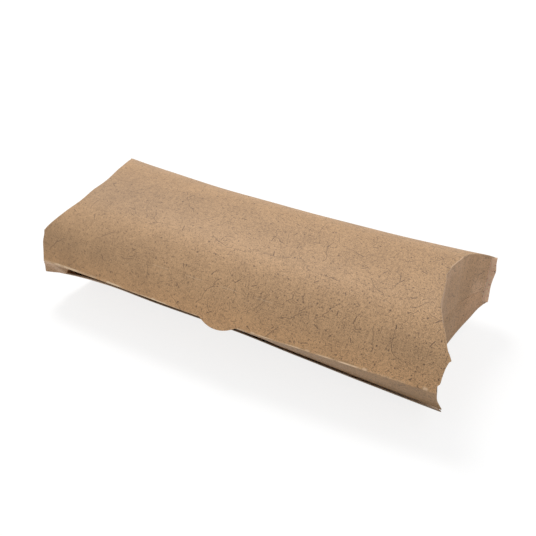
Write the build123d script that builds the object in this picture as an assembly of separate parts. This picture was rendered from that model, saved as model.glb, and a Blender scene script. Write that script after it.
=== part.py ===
from build123d import *
import math
import os

# A kraft board pillow box lying on its belly. The box runs along X, its torn-open
# side faces -Y, and the origin lies under its middle on the surface it rests on.

# Board and creases
BOARD = 0.5                    # thickness of the kraft board
FOLD_GAP = 0.25                # between two panels of the carton at a fold
HINGE_GAP = 0.45               # along each edge of the flap that tears open
WRAP_PLAY = 0.12               # between the two end flaps where they overlap
GLUE_FILM = 0.12               # dried glue in the long seam

# Carton
BODY_LENGTH = 230.4            # between the lower corner tips of the two ends
CORNER_WIDTH = 85.8            # between the front and back corner tips
CORNER_HEIGHT = 31.2           # from a lower corner tip to the upper one above it
CORNER_LIFT = 14.0             # lower corner tips above the resting surface
CROWN_RISE = 14.0              # crest of the lid above its corner tips
CROWN_POWER = 2.6              # fullness of the arched lid, 2 is a parabola
CREASE_DEPTH = 15.5            # how far the curved end creases run into the panels
BELLY_FLAT = 16.0              # width of the part of the belly that lies flat

# Sides, each folded outwards along its middle
STRIP_WIDTH = 17.2             # from an upper corner edge down to the side fold
FOLD_REACH = 7.5               # side fold beyond the corner tips at the ends
FOLD_BOW = 3.5                 # further reach of the front fold at mid-length
FRONT_HOLLOW = 3.4             # how far the ends of the front side are cut in
BACK_HOLLOW = 0.6              # and the ends of the back side
BACK_SAG = 3.0                 # upper back edge lower at mid-length
BACK_INSET = 4.0               # upper back edge further in at mid-length
FRONT_DROP = 2.0               # lower front edge below the lower back one
BELLY_TUCK = 2.6               # lower front edge further in where the belly is pushed in
BELLY_LIFT = 3.5               # and higher there

# Thumb tab on the front fold
TAB_CHORD = 21.7
TAB_DEPTH = 4.4
TAB_PLAY = 0.4                 # round the half-moon that the tab leaves in the panel below

# End flaps
FLAP_BACK_GAP = 2.6            # from a flap's back edge to the back corner tip
FLAP_FRONT_GAP = 6.6           # from a flap's front edge to the front corner tip
OUTER_FLAP_TOP = 23.4          # free edge of the lower flap above the resting surface
OUTER_FLAP_CROWN = 1.4         # bow of that free edge
OUTER_FLAP_CORNER = 5.0
INNER_FLAP_FOOT = 16.0         # free edge of the upper flap above the resting surface
INNER_FLAP_CORNER = 8.0

# Long seam at the back
SEAM_WIDTH = 12.0
SEAM_END_INSET = 22.0          # from the corner tips to the ends of the seam flap

# Cutting tools run past what they cut by this much
OVERRUN = 2.0

HALF_WIDTH = CORNER_WIDTH / 2
TIP_X = BODY_LENGTH / 2
UPPER_Z = CORNER_LIFT + CORNER_HEIGHT
CREST_Z = UPPER_Z + CROWN_RISE
CREASE_RADIUS = (HALF_WIDTH**2 + CREASE_DEPTH**2) / (2 * CREASE_DEPTH)
CREASE_CENTRE_X = TIP_X - CREASE_DEPTH + CREASE_RADIUS
INNER_FLAP_RADIUS = CREASE_RADIUS + BOARD + WRAP_PLAY

# Places along the box, as shares of half its length, and places across half the lid
STATION_SHARES = (-1.0, -0.8, -0.4, 0.0, 0.4, 0.8, 1.0)
CROWN_SHARES = (1.0, 0.86, 0.66, 0.4, 0.15, 0.04, 0.0)
BELLY_TUCK_SHARES = (0.58, 0.91, 1.0, 0.95, 0.42, 0.04, 0.0)


def station_x(share):
    """Place along the box of a station, with the end stations past the tips."""
    return share * (TIP_X + OVERRUN)


def bow(share):
    """One at mid-length and nothing at the ends."""
    return 1 - share**2


def unit(vector):
    """A vector of length one in the same direction."""
    length = math.hypot(*vector)
    return (vector[0] / length, vector[1] / length)


def moved(point, direction, distance):
    """A point moved by a distance along a direction of length one."""
    return (point[0] + direction[0] * distance, point[1] + direction[1] * distance)


# Corner lines of the section at a station, as (y, z)

def upper_front(share):
    """Cut crease that hinges the flap that tears open: straight from end to end."""
    return (-HALF_WIDTH, UPPER_Z)


def upper_back(share):
    """Upper back edge, which sags a little at mid-length."""
    return (HALF_WIDTH - BACK_INSET * bow(share), UPPER_Z - BACK_SAG * bow(share))


def front_fold(share):
    """Side fold at the front, which bows outwards at mid-length."""
    reach = FOLD_REACH + FOLD_BOW * bow(share)
    drop = math.sqrt(STRIP_WIDTH**2 - reach**2)
    return (-HALF_WIDTH - reach, UPPER_Z - drop)


def back_fold(share):
    """Side fold at the back."""
    corner = upper_back(share)
    reach = HALF_WIDTH + FOLD_REACH - corner[0]
    drop = math.sqrt(STRIP_WIDTH**2 - reach**2)
    return (corner[0] + reach, corner[1] - drop)


def lower_front(share):
    """Lower front edge, further in and higher where the belly is pushed in."""
    tuck = BELLY_TUCK_SHARES[STATION_SHARES.index(share)]
    return (-HALF_WIDTH + BELLY_TUCK * tuck, CORNER_LIFT - FRONT_DROP + BELLY_LIFT * tuck)


def lower_back(share):
    """Lower back edge."""
    return (HALF_WIDTH, CORNER_LIFT)


# Closed thin sections, as faces standing across the box

def across(share):
    """Plane across the box at a station, with its x along Y and its y along Z."""
    return Plane(origin=(station_x(share), 0, 0), x_dir=(0, 1, 0), z_dir=(1, 0, 0))


def board_face(share, outer_edges, inner_edges):
    """A thin closed face between an outer line and an inner one, end to end."""
    start = Line(inner_edges[-1] @ 1, outer_edges[0] @ 0)
    end = Line(outer_edges[-1] @ 1, inner_edges[0] @ 0)
    outline = Wire([start, *outer_edges, end, *inner_edges])
    return across(share) * Face(outline)


def crown_arm(share, side, depth):
    """Curve of the lid from its front or back edge up to the crest, a depth below its face."""
    corner = upper_front(share) if side < 0 else upper_back(share)
    half = abs(corner[0])
    rise = CREST_Z - corner[1]
    steepness = rise * CROWN_POWER / half
    points = []
    for part in CROWN_SHARES:
        inward = unit((-side * steepness * part ** (CROWN_POWER - 1), -1))
        point = (side * half * part, CREST_Z - rise * part**CROWN_POWER)
        points.append(moved(point, inward, depth))
    return Spline(*points)


def crown_section(share, side):
    """Section of the front or back half of the lid."""
    outer = crown_arm(share, side, 0)
    inner = crown_arm(share, side, BOARD)
    return board_face(share, [outer], [inner.reversed()])


def belly_arc(corner, depth):
    """Arc that leaves the flat of the belly and rises to a lower edge, a depth inside."""
    side = math.copysign(1, corner[0])
    run = abs(corner[0]) - BELLY_FLAT / 2
    radius = (run**2 + corner[1] ** 2) / (2 * corner[1])
    centre = (side * BELLY_FLAT / 2, radius)
    inward = unit((centre[0] - corner[0], centre[1] - corner[1]))
    foot = (centre[0], depth)
    return TangentArc(foot, moved(corner, inward, depth), tangent=(side, 0))


def belly_section(share, side):
    """Section of the rising front of the belly, or of its flat together with its back."""
    corner = lower_front(share) if side < 0 else lower_back(share)
    rims = []
    for depth in (0, BOARD):
        rise = belly_arc(corner, depth)
        flat = Line((-BELLY_FLAT / 2, depth), (BELLY_FLAT / 2, depth))
        rims.append([rise] if side < 0 else [flat, rise])
    outer, inner = rims
    turned = [edge.reversed() for edge in reversed(inner)]
    return board_face(share, outer, turned)


def heading(start, end):
    """Direction from one point of a section to another, in radians."""
    return math.atan2(end[1] - start[1], end[0] - start[0])


def fold_setback(share, fold_line, upper_line, lower_line):
    """How much shorter the inner face of each strip is at a fold that both are mitred to."""
    fold = fold_line(share)
    turn = heading(fold, lower_line(share)) - heading(upper_line(share), fold)
    return BOARD * math.tan(abs(math.remainder(turn, math.tau)) / 2)


def lid_setback(share, corner_line, fold_line):
    """How much shorter the inner face of a side strip is below the square edge of the lid."""
    corner = corner_line(share)
    lid_slope = math.atan((CREST_Z - corner[1]) * CROWN_POWER / abs(corner[0]))
    fold = fold_line(share)
    strip_slope = math.atan2(corner[1] - fold[1], abs(fold[0]) - abs(corner[0]))
    return BOARD * math.tan(strip_slope - lid_slope)


def belly_setback(share, fold_line, corner_line):
    """How much shorter the inner face of a side strip is above the square edge of the belly."""
    corner = corner_line(share)
    run = abs(corner[0]) - BELLY_FLAT / 2
    belly_slope = 2 * math.atan(corner[1] / run)
    fold = fold_line(share)
    strip_slope = math.atan2(fold[1] - corner[1], abs(fold[0]) - abs(corner[0]))
    return max(0, BOARD * math.tan(strip_slope - belly_slope))


def strip_section(share, upper, lower, gaps, setbacks):
    """Section of a side strip between two corner points, shortened at both edges."""
    along = unit((lower[0] - upper[0], lower[1] - upper[1]))
    inward = (along[1], -along[0])
    if inward[0] * upper[0] > 0:
        inward = (-inward[0], -inward[1])
    top = moved(upper, along, gaps[0])
    foot = moved(lower, along, -gaps[1])
    inner_top = moved(moved(top, along, setbacks[0]), inward, BOARD)
    inner_foot = moved(moved(foot, along, -setbacks[1]), inward, BOARD)
    return across(share) * make_face(Polyline(top, foot, inner_foot, inner_top, close=True))


# Tools that trim the ends

def end_plug(side, radius):
    """Upright cylinder outside one end, whose wall is the curved end of the box."""
    height = CREST_Z + 2 * OVERRUN
    plug = Cylinder(radius, height, align=(Align.CENTER, Align.CENTER, Align.MIN))
    return Pos(side * CREASE_CENTRE_X, 0, -OVERRUN) * plug


def side_plug(side, foot, hollow):
    """Level cylinder across one end, which hollows a side between its lower corner and the upper one."""
    half = (UPPER_Z - foot) / 2
    radius = (half**2 + hollow**2) / (2 * hollow)
    centre_x = side * (TIP_X - hollow + radius)
    reach = CORNER_WIDTH + 4 * (FOLD_REACH + FOLD_BOW)
    plug = Rot(90, 0, 0) * Cylinder(radius, reach)
    return Pos(centre_x, 0, foot + half) * plug


def panel_trimmed(panel, radius):
    """A panel cut to the curved creases at both ends."""
    return panel - end_plug(-1, radius) - end_plug(1, radius)


def side_trimmed(side_strip, lower_corner, hollow):
    """A side strip with hollow ends."""
    left_foot = lower_corner(STATION_SHARES[0])[1]
    right_foot = lower_corner(STATION_SHARES[-1])[1]
    return side_strip - side_plug(-1, left_foot, hollow) - side_plug(1, right_foot, hollow)


# Panels

def top_panel():
    """Arched lid: a straight front half, and a back half that follows the sagging back edge."""
    ends = (STATION_SHARES[0], STATION_SHARES[-1])
    front = loft([crown_section(share, -1) for share in ends])
    back = loft([crown_section(share, 1) for share in STATION_SHARES])
    return panel_trimmed(front + back, INNER_FLAP_RADIUS)


def bottom_panel():
    """Belly that the box rests on: a straight flat and back, and a front that is tucked under."""
    back = extrude(belly_section(STATION_SHARES[0], 1), 2 * (TIP_X + OVERRUN), dir=(1, 0, 0))
    front = loft([belly_section(share, -1) for share in STATION_SHARES])
    return panel_trimmed(front + back, CREASE_RADIUS)


def tab_reach(share):
    """A point past the front fold, down the plane of the tear flap."""
    upper = upper_front(share)
    fold = front_fold(share)
    along = unit((fold[0] - upper[0], fold[1] - upper[1]))
    return moved(fold, along, TAB_DEPTH + OVERRUN)


def below_tear_line():
    """Everything below the front fold but the half-moon tab, as a deep block."""
    half_chord = TAB_CHORD / 2
    lift = HINGE_GAP / 2
    fold = front_fold(0)
    steepness = (upper_front(0)[1] - fold[1]) / STRIP_WIDTH
    left = [(station_x(share), front_fold(share)[1] + lift) for share in STATION_SHARES if share < 0]
    right = [(-x, z) for x, z in reversed(left)]
    left_root = (-half_chord, fold[1] + lift)
    right_root = (half_chord, fold[1] + lift)
    deep = fold[1] - STRIP_WIDTH
    left_line = Spline(*left, left_root)
    moon = ThreePointArc(left_root, (0, fold[1] - TAB_DEPTH * steepness), right_root)
    right_line = Spline(right_root, *right)
    frame = Polyline(right[-1], (right[-1][0], deep), (left[0][0], deep), left[0])
    outline = Wire([left_line, moon, right_line, *frame.edges()])
    front = Plane(origin=(0, 0, 0), x_dir=(1, 0, 0), z_dir=(0, -1, 0))
    return extrude(front * Face(outline), CORNER_WIDTH, dir=(0, -1, 0))


def tear_flap():
    """Upper half of the front side with its thumb tab, which tears open and swings up."""
    sections = []
    for share in STATION_SHARES:
        setback = lid_setback(share, upper_front, front_fold)
        sections.append(strip_section(share, upper_front(share), tab_reach(share), (HINGE_GAP, 0), (setback, 0)))
    return side_trimmed(loft(sections) - below_tear_line(), lower_front, FRONT_HOLLOW)


def front_lower_side():
    """Lower half of the front side, with the half-moon left by the thumb tab."""
    sections = []
    for share in STATION_SHARES:
        fold_part = fold_setback(share, front_fold, upper_front, lower_front)
        belly_part = belly_setback(share, front_fold, lower_front)
        ends = (front_fold(share), lower_front(share))
        sections.append(strip_section(share, *ends, (HINGE_GAP, FOLD_GAP), (fold_part, belly_part)))
    fold = front_fold(0)
    foot = lower_front(0)
    width = math.hypot(foot[0] - fold[0], foot[1] - fold[1])
    half_chord = TAB_CHORD / 2 + TAB_PLAY
    depth = (TAB_DEPTH + TAB_PLAY) * (foot[0] - fold[0]) / width
    radius = (half_chord**2 + depth**2) / (2 * depth)
    moon = Pos(0, fold[0] + depth - radius, fold[1]) * Cylinder(radius, CORNER_HEIGHT)
    return side_trimmed(loft(sections) - moon, lower_front, FRONT_HOLLOW)


def back_upper_side():
    """Upper half of the back side."""
    sections = []
    for share in STATION_SHARES:
        lid_part = lid_setback(share, upper_back, back_fold)
        fold_part = fold_setback(share, back_fold, upper_back, lower_back)
        ends = (upper_back(share), back_fold(share))
        sections.append(strip_section(share, *ends, (FOLD_GAP, FOLD_GAP / 2), (lid_part, fold_part)))
    return side_trimmed(loft(sections), lower_back, BACK_HOLLOW)


def back_lower_side():
    """Lower half of the back side."""
    sections = []
    for share in STATION_SHARES:
        fold_part = fold_setback(share, back_fold, upper_back, lower_back)
        belly_part = belly_setback(share, back_fold, lower_back)
        ends = (back_fold(share), lower_back(share))
        sections.append(strip_section(share, *ends, (FOLD_GAP / 2, FOLD_GAP), (fold_part, belly_part)))
    return side_trimmed(loft(sections), lower_back, BACK_HOLLOW)


# End flaps, bent round the curved creases

def curved_wall(side, radius):
    """Upright board wall round the end plug of a radius."""
    return end_plug(side, radius + BOARD) - end_plug(side, radius)


def flap_face(foot_z, top_z, crown, foot_corner, top_corner):
    """Outline of an end flap seen from the end, with rounded corners."""
    rear = HALF_WIDTH - FLAP_BACK_GAP
    fore = FLAP_FRONT_GAP - HALF_WIDTH
    right = Line((rear, foot_z), (rear, top_z))
    left = Line((fore, top_z), (fore, foot_z))
    foot = Line((fore, foot_z), (rear, foot_z))
    if crown > 0:
        top = ThreePointArc((rear, top_z), ((fore + rear) / 2, top_z + crown), (fore, top_z))
    else:
        top = Line((rear, top_z), (fore, top_z))
    face = Face(Wire([foot, right, top, left]))
    low = face.vertices().sort_by(Axis.Y)[:2]
    high = face.vertices().sort_by(Axis.Y)[-2:]
    if foot_corner > 0:
        return fillet(low, foot_corner)
    return fillet(high, top_corner)


def flap_block(side, face):
    """Outline of an end flap drawn out along the end of the box."""
    start = side * (TIP_X - CREASE_DEPTH - OVERRUN)
    plane = Plane(origin=(start, 0, 0), x_dir=(0, 1, 0), z_dir=(1, 0, 0))
    return extrude(plane * face, CREASE_DEPTH + 2 * OVERRUN, dir=(side, 0, 0))


def outer_end_flap(side, bottom):
    """Lower end flap, folded up last, outside the upper one."""
    face = flap_face(-OVERRUN / 2, OUTER_FLAP_TOP, OUTER_FLAP_CROWN, 0, OUTER_FLAP_CORNER)
    wall = curved_wall(side, CREASE_RADIUS) & flap_block(side, face)
    return (wall - bottom).solids().sort_by(Axis.Z)[-1]


def inner_end_flap(side, top):
    """Upper end flap, folded down first, inside the lower one."""
    face = flap_face(INNER_FLAP_FOOT, CREST_Z + OVERRUN / 2, 0, INNER_FLAP_CORNER, 0)
    wall = curved_wall(side, INNER_FLAP_RADIUS) & flap_block(side, face)
    return (wall - top).solids().sort_by(Axis.Z)[0]


# Long seam, inside the belly at the back

def seam_section(share, near, far):
    """Section of a band along the rising back of the belly, between two depths."""
    corner = lower_back(share)
    run = corner[0] - BELLY_FLAT / 2
    radius = (run**2 + corner[1] ** 2) / (2 * corner[1])
    centre = (BELLY_FLAT / 2, radius)
    start = math.atan2(corner[1] - radius, run) - FOLD_GAP / radius
    finish = start - SEAM_WIDTH / radius
    middle = (start + finish) / 2
    rims = []
    for depth in (near, far):
        reach = radius - depth
        turns = [(centre[0] + reach * math.cos(a), centre[1] + reach * math.sin(a)) for a in (start, middle, finish)]
        rims.append(turns)
    outer = ThreePointArc(*rims[0])
    inner = ThreePointArc(*reversed(rims[1]))
    return board_face(share, [outer], [inner])


def seam_band(near, far):
    """Straight band of board or glue inside the back of the belly."""
    half_length = TIP_X - SEAM_END_INSET
    section = Pos(-half_length, 0, 0) * seam_section(0.0, near, far)
    return extrude(section, 2 * half_length, dir=(1, 0, 0))


def seam_flap():
    """Glue flap that closes the sleeve."""
    return seam_band(BOARD + GLUE_FILM, 2 * BOARD + GLUE_FILM)


def seam_glue():
    """Film of glue between the seam flap and the belly."""
    return seam_band(BOARD, BOARD + GLUE_FILM)


os.makedirs("parts", exist_ok=True)
top = top_panel()
bottom = bottom_panel()
pieces = {
    "top_panel": top,
    "bottom_panel": bottom,
    "tear_flap": tear_flap(),
    "front_lower_side": front_lower_side(),
    "back_upper_side": back_upper_side(),
    "back_lower_side": back_lower_side(),
    "left_inner_end_flap": inner_end_flap(-1, top),
    "right_inner_end_flap": inner_end_flap(1, top),
    "left_outer_end_flap": outer_end_flap(-1, bottom),
    "right_outer_end_flap": outer_end_flap(1, bottom),
    "seam_flap": seam_flap(),
    "seam_glue": seam_glue(),
}
for name, piece in pieces.items():
    export_step(piece, f"parts/{name}.step")
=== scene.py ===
import logging
import math
from collections.abc import Callable
from dataclasses import dataclass
from enum import Enum
from functools import partial

import bmesh
import bpy
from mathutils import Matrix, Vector
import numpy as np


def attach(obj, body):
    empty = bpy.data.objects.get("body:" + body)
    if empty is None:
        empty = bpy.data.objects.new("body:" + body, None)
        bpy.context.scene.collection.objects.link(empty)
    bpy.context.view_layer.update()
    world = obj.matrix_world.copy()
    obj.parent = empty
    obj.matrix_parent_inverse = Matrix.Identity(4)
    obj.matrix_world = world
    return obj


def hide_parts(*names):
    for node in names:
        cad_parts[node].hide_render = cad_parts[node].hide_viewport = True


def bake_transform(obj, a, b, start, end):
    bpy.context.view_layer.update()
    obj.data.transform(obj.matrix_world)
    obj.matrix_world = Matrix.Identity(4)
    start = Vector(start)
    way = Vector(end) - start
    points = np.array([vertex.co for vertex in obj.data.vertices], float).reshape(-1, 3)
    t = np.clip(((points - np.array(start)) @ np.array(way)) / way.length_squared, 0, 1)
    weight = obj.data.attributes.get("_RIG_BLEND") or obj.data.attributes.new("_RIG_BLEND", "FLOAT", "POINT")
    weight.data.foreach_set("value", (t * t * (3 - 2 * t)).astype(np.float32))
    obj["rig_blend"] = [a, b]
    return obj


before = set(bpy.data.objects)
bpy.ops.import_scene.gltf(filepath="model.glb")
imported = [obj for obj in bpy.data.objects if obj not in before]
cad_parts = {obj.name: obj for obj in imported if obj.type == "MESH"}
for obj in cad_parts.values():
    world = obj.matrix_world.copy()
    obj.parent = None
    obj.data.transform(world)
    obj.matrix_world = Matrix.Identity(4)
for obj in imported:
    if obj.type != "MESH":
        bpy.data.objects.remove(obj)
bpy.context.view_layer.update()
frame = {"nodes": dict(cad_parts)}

Colour = tuple[float, float, float, float]
Tint = tuple[float, float, float]
Pair = tuple[float, float]
Row = tuple[float, float, float, float]
Surface = Callable[[float, float], "Spot"]
Finishes = list[bpy.types.Material]

MM = 0.001
FAR_MM = 99.0
PLAIN: Tint = (1.0, 1.0, 1.0)
WHITE: Colour = (1.0, 1.0, 1.0, 1.0)
UP = Vector((0.0, 0.0, 1.0))
DOWN = Vector((0.0, 0.0, -1.0))

log = logging.getLogger("pillow_box")


# ---------------------------------------------------------------- shader tools


class Operation(Enum):
    """The sums that shader values and vectors can be part of."""

    ADD = "ADD"
    SUBTRACT = "SUBTRACT"
    MULTIPLY = "MULTIPLY"
    DIVIDE = "DIVIDE"
    LARGER = "MAXIMUM"
    ABSOLUTE = "ABSOLUTE"
    SINE = "SINE"
    COSINE = "COSINE"
    ZIGZAG = "PINGPONG"


class Mixing(Enum):
    """The ways that two colours are mixed."""

    PLAIN = "MIX"
    MULTIPLY = "MULTIPLY"


class Shade:
    """A number inside a shader, written in sums like any other number."""

    def __init__(self, shader: "Shader", socket: bpy.types.NodeSocket) -> None:
        """Wraps an output socket that carries a number."""
        self.shader = shader
        self.socket = socket

    def __add__(self, other: "Shade | float") -> "Shade":
        """Sum."""
        return self.shader.sum(Operation.ADD, self, other)

    def __radd__(self, other: float) -> "Shade":
        """Sum with the number on the left."""
        return self.shader.sum(Operation.ADD, other, self)

    def __sub__(self, other: "Shade | float") -> "Shade":
        """Difference."""
        return self.shader.sum(Operation.SUBTRACT, self, other)

    def __rsub__(self, other: float) -> "Shade":
        """Difference with the number on the left."""
        return self.shader.sum(Operation.SUBTRACT, other, self)

    def __mul__(self, other: "Shade | float") -> "Shade":
        """Product."""
        return self.shader.sum(Operation.MULTIPLY, self, other)

    def __rmul__(self, other: float) -> "Shade":
        """Product with the number on the left."""
        return self.shader.sum(Operation.MULTIPLY, other, self)

    def __truediv__(self, other: "Shade | float") -> "Shade":
        """Quotient."""
        return self.shader.sum(Operation.DIVIDE, self, other)

    def __rtruediv__(self, other: float) -> "Shade":
        """Quotient with the number on the left."""
        return self.shader.sum(Operation.DIVIDE, other, self)

    def __abs__(self) -> "Shade":
        """Size without its sign."""
        return self.shader.sum(Operation.ABSOLUTE, self)

    def below(self, limit: "Shade | float", blur: float) -> "Shade":
        """Mask that is 1 under a limit and 0 over it, with a soft step of a width between."""
        return self.shader.clamp((limit - self) / blur + 0.5)

    def between(self, low: float, high: float) -> "Shade":
        """Turns a mask into a number that is low at 0 and high at 1."""
        return self * (high - low) + low

    def stretched(self, gain: float, offset: float) -> "Shade":
        """Times a gain and plus an offset, held between 0 and 1."""
        return self.shader.clamp(self * gain + offset)


@dataclass(frozen=True)
class Cloud:
    """A cloudy pattern: clouds in a millimetre, finer layers on top, their strength, and its weight."""

    per_mm: float
    detail: float
    rough: float
    weight: float = 1.0


class Shader:
    """Builds the nodes of one material or of the world."""

    def __init__(self, owner: bpy.types.Material | bpy.types.World) -> None:
        """Starts without nodes.

        Args:
            owner: Material or world that gets the nodes.
        """
        self.owner = owner
        owner.use_nodes = True
        self.tree = owner.node_tree
        self.tree.nodes.clear()

    def node(
        self,
        kind: str,
        settings: dict[str, object] | None = None,
        sockets: dict[str | int, object] | None = None,
    ) -> bpy.types.Node:
        """Adds a node.

        Args:
            kind: Type of the node.
            settings: Its own settings, set first.
            sockets: Values, shades or sockets for its inputs, by name or place.

        Returns:
            The node.
        """
        node = self.tree.nodes.new(kind)
        for key, setting in (settings or {}).items():
            setattr(node, key, setting)
        for key, given in (sockets or {}).items():
            target = node.inputs[key]
            if isinstance(given, Shade):
                self.tree.links.new(given.socket, target)
            elif isinstance(given, bpy.types.NodeSocket):
                self.tree.links.new(given, target)
            else:
                target.default_value = given
        return node

    def shade(self, node: bpy.types.Node, output: str | int = 0) -> Shade:
        """An output of a node, as a number."""
        return Shade(self, node.outputs[output])

    def sum(self, operation: Operation, *terms: Shade | float) -> Shade:
        """Adds a Math node and gives its result."""
        given = dict(enumerate(terms))
        return self.shade(self.node("ShaderNodeMath", {"operation": operation.value}, given))

    def vector(self, operation: Operation, *terms: object) -> bpy.types.NodeSocket:
        """Adds a Vector Math node and gives its vector."""
        given = dict(enumerate(terms))
        return self.node("ShaderNodeVectorMath", {"operation": operation.value}, given).outputs[0]

    def clamp(self, number: Shade) -> Shade:
        """A number held between 0 and 1."""
        return self.shade(self.node("ShaderNodeClamp", {}, {"Value": number}))

    def attribute(self, name: str) -> bpy.types.Node:
        """Reads an attribute that is stored on the mesh."""
        return self.node("ShaderNodeAttribute", {"attribute_name": name})

    def distance(self, name: str) -> Shade:
        """Reads a distance in millimetres that is stored on the mesh."""
        return self.shade(self.attribute(name), "Fac")

    def in_mm(self) -> bpy.types.NodeSocket:
        """Object coordinates in millimetres."""
        place = self.node("ShaderNodeTexCoord").outputs["Object"]
        return self.vector(Operation.MULTIPLY, place, (1 / MM, 1 / MM, 1 / MM))

    def axis(self, place: object, index: int) -> Shade:
        """One of the three numbers of a vector."""
        return self.shade(self.node("ShaderNodeSeparateXYZ", {}, {0: place}), index)

    def noise(self, place: object, cloud: Cloud) -> Shade:
        """Cloudy pattern around 0.5, read at a vector in millimetres."""
        sockets = {"Vector": place, "Scale": cloud.per_mm, "Detail": cloud.detail, "Roughness": cloud.rough}
        return self.shade(self.node("ShaderNodeTexNoise", {}, sockets), "Fac")

    def blend(
        self, mask: Shade | float, first: object, second: object, how: Mixing = Mixing.PLAIN
    ) -> bpy.types.NodeSocket:
        """Mixes the second colour or socket into the first, as far as the mask says."""
        settings = {"data_type": "RGBA", "blend_type": how.value}
        return self.node("ShaderNodeMix", settings, {0: mask, 6: first, 7: second}).outputs[2]

    def bump(self, strength: float, depth_mm: float, height: Shade) -> bpy.types.NodeSocket:
        """Small relief of a surface, as a normal."""
        sockets = {"Strength": strength, "Distance": depth_mm * MM, "Height": height}
        return self.node("ShaderNodeBump", {}, sockets).outputs[0]

    def seen(self) -> Shade:
        """One for rays that show a surface to the camera, straight or by gloss."""
        path = self.node("ShaderNodeLightPath")
        kinds = ("Camera", "Glossy", "Transmission")
        straight, gloss, through = (self.shade(path, f"Is {kind} Ray") for kind in kinds)
        return self.sum(Operation.LARGER, straight, self.sum(Operation.LARGER, gloss, through))

    def finish(
        self, surface: bpy.types.NodeSocket, output: str = "ShaderNodeOutputMaterial"
    ) -> bpy.types.Material | bpy.types.World:
        """Joins the surface to an output node, and gives the finished material or world."""
        self.node(output, {}, {"Surface": surface})
        return self.owner


class BoardShader(Shader):
    """Builds the nodes of one material of the board, with what all its masks are read from."""

    def __init__(self, name: str, fine: Cloud, stored: bool) -> None:
        """Starts a material.

        Args:
            name: Name of the material.
            fine: Fine mottle of the pulp.
            stored: Whether the mesh stores its flattened places.
        """
        super().__init__(bpy.data.materials.new(name))
        self.place = self.attribute("board_mm").outputs["Vector"] if stored else self.in_mm()
        self.x = self.axis(self.place, 0)
        self.fine = self.noise(self.place, fine)

    def dashes(self, shift: float, half_period: float, half_dash: float, blur: float) -> Shade:
        """Mask of a row of dashes along the box, with soft ends."""
        return self.sum(Operation.ZIGZAG, self.x + shift, half_period).below(half_dash, blur)


# ---------------------------------------------------------------- finishes


@dataclass(frozen=True)
class FibreLayer:
    """One scatter of fibres or specks pressed into the board, sizes in millimetres."""

    spacing: float
    length: float
    width: float
    curl: float
    share: float
    strength: float
    shift: tuple[float, float, float]
    wander: float = 0.0
    wander_per_mm: float = 0.13
    least_length: float = 0.4
    blur: float = 0.02

    def mask(self, shader: BoardShader) -> Shade:
        """Mask of short bent dashes, one in each cell of a scatter.

        Args:
            shader: Shader that gets the nodes.

        Returns:
            A mask from 0 to 1.
        """
        moved = shader.vector(Operation.ADD, shader.place, self.shift)
        if self.wander:
            sockets = {"Vector": moved, "Scale": self.wander_per_mm, "Detail": 1.0}
            soft = shader.node("ShaderNodeTexNoise", {}, sockets).outputs["Color"]
            sway = shader.vector(Operation.SUBTRACT, soft, (0.5, 0.5, 0.5))
            sway = shader.vector(Operation.MULTIPLY, sway, (self.wander, self.wander, 0.0))
            moved = shader.vector(Operation.ADD, moved, sway)
        sockets = {"Vector": moved, "Scale": 1 / self.spacing, "Randomness": 1.0}
        settings = {"voronoi_dimensions": "2D", "feature": "F1"}
        cells = shader.node("ShaderNodeTexVoronoi", settings, sockets)
        offset = shader.vector(Operation.SUBTRACT, moved, cells.outputs["Position"])
        along, across = shader.axis(offset, 0), shader.axis(offset, 1)
        separate = shader.node("ShaderNodeSeparateColor", {}, {0: cells.outputs["Color"]})
        turning, chance, size = (shader.shade(separate, index) for index in range(3))
        turn = turning * math.tau
        sine, cosine = shader.sum(Operation.SINE, turn), shader.sum(Operation.COSINE, turn)
        run = along * cosine + across * sine
        side = across * cosine - along * sine
        bend = (chance - 0.5) * (2 * self.curl)
        line = abs(side - bend * run * run)
        reach = size.between(self.least_length, 1.0) * (self.length / 2)
        drawn = line.below(self.width, self.width) * abs(run).below(reach, self.width * 2)
        return drawn * chance.below(self.share, self.blur) * self.strength


@dataclass(frozen=True)
class FoldWear:
    """Pale worn line along the front fold, in longer and shorter dashes.

    long_dashes and spots are the shift of a row of dashes, half its period, half a dash and the blur of
    its ends, in millimetres. spot_reach, left_half, wide_part and not_faded are soft steps: where one is
    half done, and its width. reach is the line's least and greatest width, and fibres a gain and an offset.
    """

    long_dashes: Row = (3.0, 7.25, 4.6, 1.6)
    long_floor: float = 0.55
    spots: Row = (9.0, 14.5, 1.1, 0.8)
    spot_reach: Pair = (0.8, 0.6)
    spot_strength: float = 0.5
    patches: Cloud = Cloud(0.09, 2.0, 0.5, 5.0)
    patch_from: float = 0.38
    left_half: Pair = (-40.0, 40.0)
    left_more: float = 0.2
    wide_part: Pair = (-62.0, 60.0)
    reach: Pair = (0.34, 0.89)
    reach_blur: float = 0.4
    not_faded: Pair = (86.0, 40.0)
    faded: float = 0.15
    fibres: Pair = (1.6, 0.2)
    strength: float = 1.1

    def mask(self, shader: BoardShader) -> Shade:
        """Builds the mask.

        Args:
            shader: Shader that gets the nodes.

        Returns:
            A mask from 0 to 1.
        """
        x, fold = shader.x, shader.distance("fold_mm")
        dash = shader.dashes(*self.long_dashes).between(self.long_floor, 1.0)
        rubbing_and_painted_light = (shader.noise(shader.place, self.patches) - self.patch_from) * self.patches.weight
        patch = shader.clamp(rubbing_and_painted_light + x.below(*self.left_half) * self.left_more)
        reach = x.below(*self.wide_part).between(*self.reach)
        line = fold.below(reach, self.reach_blur) * dash * patch * shader.fine.stretched(*self.fibres)
        spot = shader.dashes(*self.spots) * fold.below(*self.spot_reach)
        fade = x.below(*self.not_faded).between(self.faded, 1.0)
        return shader.clamp(line * fade * self.strength + spot * self.spot_strength)


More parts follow.
